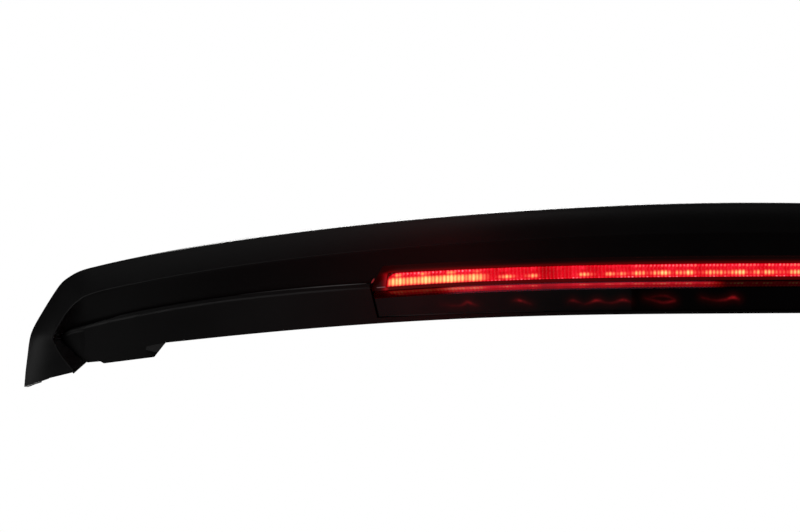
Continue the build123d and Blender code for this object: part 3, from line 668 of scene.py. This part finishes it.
def make_strip():
    per = 8
    count = int(2 * 302.5 / FLUTE) * per
    u = np.linspace(-1, 1, count + 1)
    rows = 26
    v = np.linspace(0, 1, rows)
    uu, vv = np.meshgrid(u, v, indexing="ij")
    x = uu * 301.0
    for _ in range(2):
        z = z_strip_bottom(x) + vv * (z_strip_top(x) - z_strip_bottom(x))
        x = uu * strip_half(z)
    phase = x / FLUTE - np.floor(x / FLUTE)
    q = FACE - 0.3 + 0.55 * (1 - np.sin(np.pi * phase)) * ease(np.minimum(vv, 1 - vv) / 0.06 + 0.2)
    front = place(x, q, z)
    back = place(x[:, [-1, 0]], np.full((len(u), 2), FACE + 6.5), z[:, [-1, 0]])
    ob = loft("strip_optic", np.concatenate([front, back], 1), 60.0)
    back_dark = np.zeros((len(u), 2))
    for name, values in zip(("light", "hot_spot"), strip_light(x, vv, z)):
        set_values(ob, name, np.concatenate([values, back_dark], 1))
    return wear(ob, "strip_lens", red_optic)


def lens_half(z):
    return np.interp(z, [-38.0, -11.3, 20.0], [308.4, 314.6, 307.0])


# Painted reflections of the lit strip in the smoked lens, as lines: x, height above its lower edge, strength.
REFLECTED_ARCS = [
    [(-258.0, 12.2, 0.20), (-250.0, 11.0, 0.30), (-242.0, 10.6, 0.38), (-237.5, 12.0, 0.52), (-234.5, 13.4, 0.66),
     (-231.0, 11.8, 0.52), (-226.5, 10.4, 0.34)],
    [(-196.0, 13.4, 0.25), (-192.5, 14.0, 0.50), (-189.5, 13.6, 0.62), (-185.0, 12.2, 0.46), (-179.5, 10.2, 0.26)],
    [(-147.5, 12.2, 0.28), (-144.2, 12.9, 0.52), (-139.5, 11.6, 0.38), (-134.5, 9.8, 0.30), (-128.5, 11.2, 0.50),
     (-123.4, 12.8, 0.70), (-118.0, 11.6, 0.46), (-111.5, 10.4, 0.36), (-105.0, 12.0, 0.52), (-100.4, 12.9, 0.66),
     (-95.0, 11.4, 0.36)],
    [(-82.0, 14.4, 0.30), (-75.0, 12.6, 0.40), (-66.5, 10.6, 0.48), (-60.0, 11.2, 0.58), (-56.5, 12.0, 0.52)],
    [(-80.0, 14.6, 0.26), (-66.0, 16.4, 0.38), (-57.0, 13.4, 0.36)],
    [(-33.5, 14.8, 0.32), (-28.0, 13.4, 0.34), (-22.0, 12.2, 0.36), (-15.0, 12.4, 0.52), (-9.5, 13.8, 0.72),
     (-5.6, 14.6, 0.86), (-1.5, 13.2, 0.55)],
]


def lens_painted_reflection(x, up):
    """Painted reflection: thin bright lines with a soft glow under them."""
    out = np.zeros_like(x)
    seen = [[(p + 3.4, h - 4.0, w) for p, h, w in line] for line in REFLECTED_ARCS]      # as they lie behind the face
    sides = [seen, [[(-p, h, w) for p, h, w in line] for line in seen[:3]]]
    for line in [l for side in sides for l in side]:
        line = np.array(line)
        line = spline(np.arange(len(line), dtype=float), line)(np.linspace(0, len(line) - 1, 6 * len(line)))
        far, power = np.full(x.shape, 1e9), np.zeros(x.shape)
        for p, q in zip(line[:-1], line[1:]):
            run = q[:2] - p[:2]
            t = np.clip(((x - p[0]) * run[0] + (up - p[1]) * run[1]) / (run @ run), 0, 1)
            d = np.hypot(x - p[0] - t * run[0], up - p[1] - t * run[1])
            power = np.where(d < far, p[2] + t * (q[2] - p[2]), power)
            far = np.minimum(far, d)
        out = np.maximum(out, power * (0.58 * bell(far, 1.5) + 0.42 * bell(far, 4.4)))
    return np.clip(out, 0, 1)


def make_lower_lens():
    cols = 741
    u = np.linspace(-1, 1, cols)
    loops, lights, body_sheen, strip_reflections = [], [], [], []
    for w in u:
        x0 = w * 310.0
        b, l = float(z_strip_bottom(x0)), float(z_lens_bottom(x0))
        q = FACE - 10.0
        pts = np.array([(FACE - 0.3, b - 3.0), (q, b - 9.4), (q + 3.0, l), (q + 5.6, l), (q + 5.4, l + 1.6),
                        (q + 14.0, l + 1.6), (q + 14.0, l + 4.0), (q + 5.0, l + 4.0), (q + 2.7, b - 10.6), (FACE - 0.3, b - 5.8)])
        knee = arc(pts[0], pts[1], pts[2], 0.6, 6)
        foot = arc(pts[1], pts[2], pts[3], 0.9, 5)
        face = between(knee[-1], foot[0], 34)
        path = np.vstack([pts[0][None], between(pts[0], knee[0], 6), knee, face, foot, pts[3:]])
        z = path[:, 1]
        x = w * lens_half(z)
        loops.append(place(x, path[:, 0], z))
        # painted reflection of the lit strip, on the face rows only
        glow = lens_painted_reflection(x, z - l)
        glow[:13] = 0
        glow[13 + 34 + 5:] = 0
        lights.append(glow)
        a = np.abs(x)
        # lens body: paler towards the ends and outside |x| 90 as a painted sheen, with a dark line at the partition
        # near |x| 86.5
        body_sheen.append(np.where(a > 90.0, 1.0, 0.25) * (0.55 + 0.45 * ease((a - 60.0) / 240.0)) * (1 - 0.8 * bell(a - 86.5, 3.4)))
        # painted reflection of the lit strip on the ledge: its reach along the lamp, and beads of light from the flutes
        # across the top rows
        lit = 0.15 * ease((a - 120.0) / 80.0) + (0.85 + 0.35 * ease((a - 60.0) / 60.0)) * ease((262.0 - a) / 34.0) * np.where(
            x < 0, ease((-x - 6.0) / 22.0), ease((x - 74.0) / 26.0))
        bead = 0.75 + 0.5 * (0.5 + 0.5 * math.cos(2 * math.pi * x0 / FLUTE)) * (0.6 + 0.4 * math.sin(x0 * 0.37) * math.sin(x0 * 0.113))
        across = np.ones(len(z))
        across[:9] = [0.55, 0.9, 1.0, 0.8, 0.55, 0.5, 0.6, 1.05 * bead, 1.1 * bead]
        strip_reflections.append(lit * across)
    ob = loft("lower_optic", np.array(loops), 40.0)
    for name, values in (("light", lights), ("body", body_sheen), ("strip_reflection", strip_reflections)):
        set_values(ob, name, np.array(values))
    wear(ob, "lower_lens", smoked)
    ob.data.materials.append(ledge_gloss)
    count = len(loops[0])
    for k, f in enumerate(ob.data.polygons):
        if k < (cols - 1) * count and k % count < 9:
            f.material_index = 1
    return ob


def sliver(name, path, width, depth, material):
    """Thin lens-shaped bar along a path of x, q, z points, tapered at both ends, on both sides of the lamp."""
    verts, faces = [], []
    for side in (-1, 1):
        base = len(verts)
        n = len(path)
        for k, (x, q, z) in enumerate(path):
            t = k / (n - 1)
            nx, nz = path[min(k + 1, n - 1)][0] - path[max(k - 1, 0)][0], path[min(k + 1, n - 1)][2] - path[max(k - 1, 0)][2]
            size = math.hypot(nx, nz)
            wx, wz = -nz / size, nx / size
            h = width / 2 * math.sin(math.pi * (0.06 + 0.88 * t)) ** 0.6
            for ox, oq in ((-h, 0.0), (-0.6 * h, -depth), (0.6 * h, -depth), (h, 0.0)):
                px = x + wx * ox
                verts.append((-side * px * MM, (y_trail(px) + q + oq) * MM, (z + wz * ox) * MM))
        for k in range(n - 1):
            for c in range(4):
                d = (c + 1) % 4
                faces.append((base + 4 * k + c, base + 4 * k + d, base + 4 * k + 4 + d, base + 4 * k + 4 + c))
        faces.append(tuple(base + c for c in (3, 2, 1, 0)))
        faces.append(tuple(base + 4 * (n - 1) + c for c in range(4)))
    ob = new_mesh(name, verts, faces, 50.0)
    import bmesh
    bm = bmesh.new()
    bm.from_mesh(ob.data)
    bmesh.ops.recalc_face_normals(bm, faces=bm.faces)
    bm.to_mesh(ob.data)
    bm.free()
    return wear(ob, None, material)


def z_bottom(x):
    return poly(x, -36.04, 1.247e-5, -4.061e-7, 3.716e-10)


def panel_y(x, z):
    """Rear face of the lower panel."""
    ye, ze, high = y_trail(x) + undercut_at(x) - 3.0, z_ledge(x), z_ledge(x) - z_bottom(x)
    return ye + 5.0 * (1 + 24.0 / high) * (ze - 3.8 - z) / (high + 20.2)


def panel_tip(name, side):
    """Pointed end of the lower panel with the return that closes it against the winglet."""
    top_x, top_z = np.array([(-594.2, -53.5), (-593.2, -52.7), (-587.0, -50.0), (-581.4, -47.9), (-577.0, -46.9), (-562.0, -43.4)]).T
    low_x, low_z = np.array([(-594.2, -53.9), (-591.4, -57.9), (-586.3, -63.8), (-581.4, -68.7), (-576.6, -73.3), (-562.0, -60.0)]).T
    x = np.concatenate([np.linspace(-594.2, -576.6, 30), np.linspace(-576.6, -562.0, 12)[1:]])
    top, low = np.interp(x, top_x, top_z), np.interp(x, low_x, low_z)
    edge = np.minimum(3.8, 0.7 * (top - low))
    drop = np.concatenate([np.linspace(0, 1, 5)[None] * edge[:, None],
                           edge[:, None] + np.linspace(0, 1, 15)[None, 1:] * (top - low - edge)[:, None]], 1)
    z = top[:, None] - drop
    xx = np.repeat(x[:, None], z.shape[1], 1)
    lean = 1.6 * np.clip(1 - drop / np.maximum(edge, 1e-6)[:, None], 0, 1)
    sink = 0.55 * ease((xx + 577.0) / 13.0)
    front = np.stack([xx, panel_y(xx, z) - 0.2 + sink + lean, z], -1)
    back = np.stack([xx, panel_y(xx, z) + 11.0, z], -1)
    flip = np.array([side, 1.0, 1.0])
    return wear(sheet_solid(name, front * flip, back * flip), None, satin)


def lug_facet(name, side):
    """Raised facet at the lower corner of the panel's drop tab: x, z, how far it stands out."""
    rim = [(-515.2, -64.0, 0.0), (-499.0, -61.1, 0.0), (-505.7, -69.6, 1.6), (-508.8, -73.1, 0.2), (-517.5, -73.9, 0.2),
           (-516.2, -67.2, 0.5)]
    front = [(x * side, float(panel_y(x, z)) - 0.15 - d, z) for x, z, d in rim]
    back = [(x * side, float(panel_y(x, z)) + 0.8, z) for x, z, d in rim]
    n = len(rim)
    faces = [(0, 1, 2), (0, 2, 5), (5, 2, 3), (5, 3, 4)]
    faces += [tuple(k + n for k in reversed(f)) for f in faces] + [((k + 1) % n, k, k + n, (k + 1) % n + n) for k in range(n)]
    if side < 0:
        faces = [tuple(reversed(f)) for f in faces]
    return wear(new_mesh(name, np.array(front + back) * MM, faces, 12.0), None, satin)


for side, hand in ((1, "left"), (-1, "right")):
    panel_tip("panel_tip_" + hand, side)
    lug_facet("lug_facet_" + hand, side)

make_strip()
make_lower_lens()
t = np.linspace(0, 1, 9)
# painted glints: a red gleam on the rim of the lamp opening, and a highlight on the lens edge below the strip's end
rim_z = [-4.8 - 4.1 * k for k in t]
sliver("end_glint", [(-312.2 - 2.7 * k, 34.0 * (19.6 - z) / 28.5 - 0.35, z) for k, z in zip(t, rim_z)], 1.5, 0.3,
       painted_glint_material("end_glint", (0.20, 0.014, 0.016), 1.0))
sliver("lens_edge_glint", [(-310.4 + 8.0 * k, FACE - 0.4, float(z_strip_bottom(-310.4 + 8.0 * k)) + 0.2) for k in t], 0.8, 0.3,
       painted_glint_material("lens_edge_glint", (0.15, 0.080, 0.085), 1.0))


def edge_material():
    """Top edge of the lower panel with a painted highlight near the lamp."""
    m, nt, b = shader("panel_edge")
    coord = nt.nodes.new("ShaderNodeTexCoord").outputs["Object"]
    cloud = noise(nt, coord, 90.0, 2.0)
    speck = spread(nt, cloud.outputs["Fac"], 0.85, 1.15).outputs["Result"]
    shine = ramp(nt, math_node(nt, "MULTIPLY", attribute(nt, "gleam"), speck),
                 [(0.0, (0.0, 0.0, 0.0)), (0.5, (0.016, 0.0155, 0.0155)), (1.0, (0.036, 0.0340, 0.0345))])
    nt.links.new(shine.outputs["Color"], b.inputs["Emission Color"])
    b.inputs["Emission Strength"].default_value = 1.0
    nt.links.new(ramp(nt, cloud.outputs["Fac"], [(0.3, (0.0095, 0.0092, 0.0096)), (0.7, (0.0115, 0.0112, 0.0116))]).outputs["Color"],
                 b.inputs["Base Color"])
    b.inputs["Roughness"].default_value = 0.4
    b.inputs["Specular IOR Level"].default_value = 0.24
    return m


painted_highlight = edge_material()
# painted highlights: along the panel's top edge near the lamp and along the lens foot, strength from "gleam"
run = np.linspace(-432.0, -319.5, 60)
line = sliver("panel_edge_highlight", [(x, float(undercut_at(x)) - 1.75, float(z_ledge(x)) + 0.1) for x in run], 0.95, 0.3,
              painted_highlight)
set_values(line, "gleam", [np.interp(abs(v.co.x) / MM, [319.0, 324.0, 336.0, 345.0, 360.0, 377.0, 395.0, 432.0],
                                     [0.55, 0.80, 0.95, 0.95, 0.70, 0.42, 0.22, 0.0]) for v in line.data.vertices])
run = np.linspace(-299.0, -165.0, 60)
line = sliver("lens_foot_highlight", [(x, FACE - 7.7, float(z_lens_bottom(x)) - 0.1) for x in run], 1.3, 0.3, painted_highlight)
set_values(line, "gleam", [np.interp(abs(v.co.x) / MM, [165.0, 240.0, 258.0, 272.0, 290.0, 299.0],
                                     [0.02, 0.05, 0.12, 0.17, 0.15, 0.05]) for v in line.data.vertices])

# ------------------------------------------------------------------ studio
scene = bpy.context.scene
scene.view_settings.view_transform = "Standard"
world = bpy.data.worlds.new("studio")
scene.world = world
world.use_nodes = True
world.node_tree.nodes["Background"].inputs["Color"].default_value = (1, 1, 1, 1)
world.node_tree.nodes["Background"].inputs["Strength"].default_value = 1.0
for ray in ("diffuse", "glossy", "transmission", "scatter"):
    setattr(world.cycles_visibility, ray, False)

floor = new_mesh("floor", [(-6, -6, 0), (6, -6, 0), (6, 6, 0), (-6, 6, 0)], [(0, 1, 2, 3)])
floor.location = (0, 0, cad_lo.z - 0.0008)
m = bpy.data.materials.new("floor_white")
m.use_nodes = True
nt = m.node_tree
nt.nodes.clear()
out = nt.nodes.new("ShaderNodeOutputMaterial")
mix = nt.nodes.new("ShaderNodeMixShader")
glow = nt.nodes.new("ShaderNodeEmission")
clear = nt.nodes.new("ShaderNodeBsdfTransparent")
geo = nt.nodes.new("ShaderNodeNewGeometry")
nt.links.new(geo.outputs["Backfacing"], mix.inputs[0])
nt.links.new(glow.outputs[0], mix.inputs[1])
nt.links.new(clear.outputs[0], mix.inputs[2])
nt.links.new(mix.outputs[0], out.inputs[0])
floor.data.materials.append(m)
for ray in ("diffuse", "glossy", "transmission", "shadow", "volume_scatter"):
    setattr(floor, "visible_" + ray, False)


def lamp(name, place_at, aim, size_x, size_y, watts, colour=(1, 1, 1)):
    d = bpy.data.lights.new(name, "AREA")
    d.shape = "RECTANGLE"
    d.size, d.size_y = size_x, size_y
    d.energy = watts
    d.color = colour
    ob = bpy.data.objects.new(name, d)
    ob.location = place_at
    ob.rotation_euler = (Vector(aim) - Vector(place_at)).to_track_quat("-Z", "Y").to_euler()
    ob.visible_camera = False
    bpy.context.scene.collection.objects.link(ob)
    return ob


lamp("rear_left_high", (-2.7, -1.5, 0.8), (-0.35, -0.1, 0.0), 1.0, 0.8, 9.1)
lamp("rear_left_far", (-1.7, -2.8, 0.5), (-0.35, -0.1, 0.0), 0.9, 0.7, 5.1)
lamp("rear_left_low", (-2.3, -2.0, -0.45), (-0.35, -0.1, 0.0), 1.0, 0.6, 4.4)
lamp("over_wide", (-0.2, 0.2, 1.6), (-0.2, -0.1, 0.0), 1.8, 0.5, 0.89)
lamp("over_left", (-1.2, 0.1, 1.3), (-0.5, -0.08, 0.0), 0.7, 0.6, 0.3)
lamp("over_near", (-0.5, 0.0, 1.5), (-0.3, -0.1, 0.0), 1.2, 0.4, 0.36)
lamp("side_left", (-1.9, 0.25, -0.32), (-0.6, -0.04, -0.07), 0.8, 0.55, 0.71)
lamp("under_left", (-0.6, -0.3, -1.5), (-0.4, -0.1, 0.0), 0.9, 0.5, 0.32)
lamp("front_soft", (0.3, 2.4, 0.9), (0.0, 0.1, 0.0), 2.4, 1.2, 48.0)
lamp("front_low", (0.2, 1.6, -1.5), (0.0, 0.1, -0.02), 2.2, 1.0, 28.0)
lamp("side_right", (2.3, 0.7, 0.1), (0.6, 0.0, -0.03), 1.2, 0.9, 8.0)
fill = lamp("corner_fill", (1.3, -0.32, -0.25), (-0.6, -0.055, -0.065), 0.25, 0.2, 0.036)
fill.data.spread = math.radians(10.0)

for side in (-1, 1):
    halo = lamp("lamp_glow", (side * 0.270, -0.190, -0.04), (side * 0.270, -0.1, 0.0), 0.09, 0.03, 0.056, (1.0, 0.015, 0.022))
    halo.visible_glossy = False
    halo = lamp("band_glow", (side * 0.272, -0.165, 0.12), (side * 0.272, -0.125, 0.03), 0.06, 0.03, 0.05, (1.0, 0.015, 0.022))
    halo.visible_glossy = False

cam = bpy.data.cameras.new("camera")
cam.lens, cam.sensor_width = 80.0, 36.0
cam.clip_start, cam.clip_end = 0.05, 100.0
eye = bpy.data.objects.new("camera", cam)
roll = math.radians(0.33)
c, s = math.cos(roll), math.sin(roll)
eye.matrix_world = Matrix(((c, s, 0, -0.2898), (0, 0, -1, -1.634), (-s, c, 0, 0.006), (0, 0, 0, 1)))
scene.collection.objects.link(eye)
scene.camera = eye
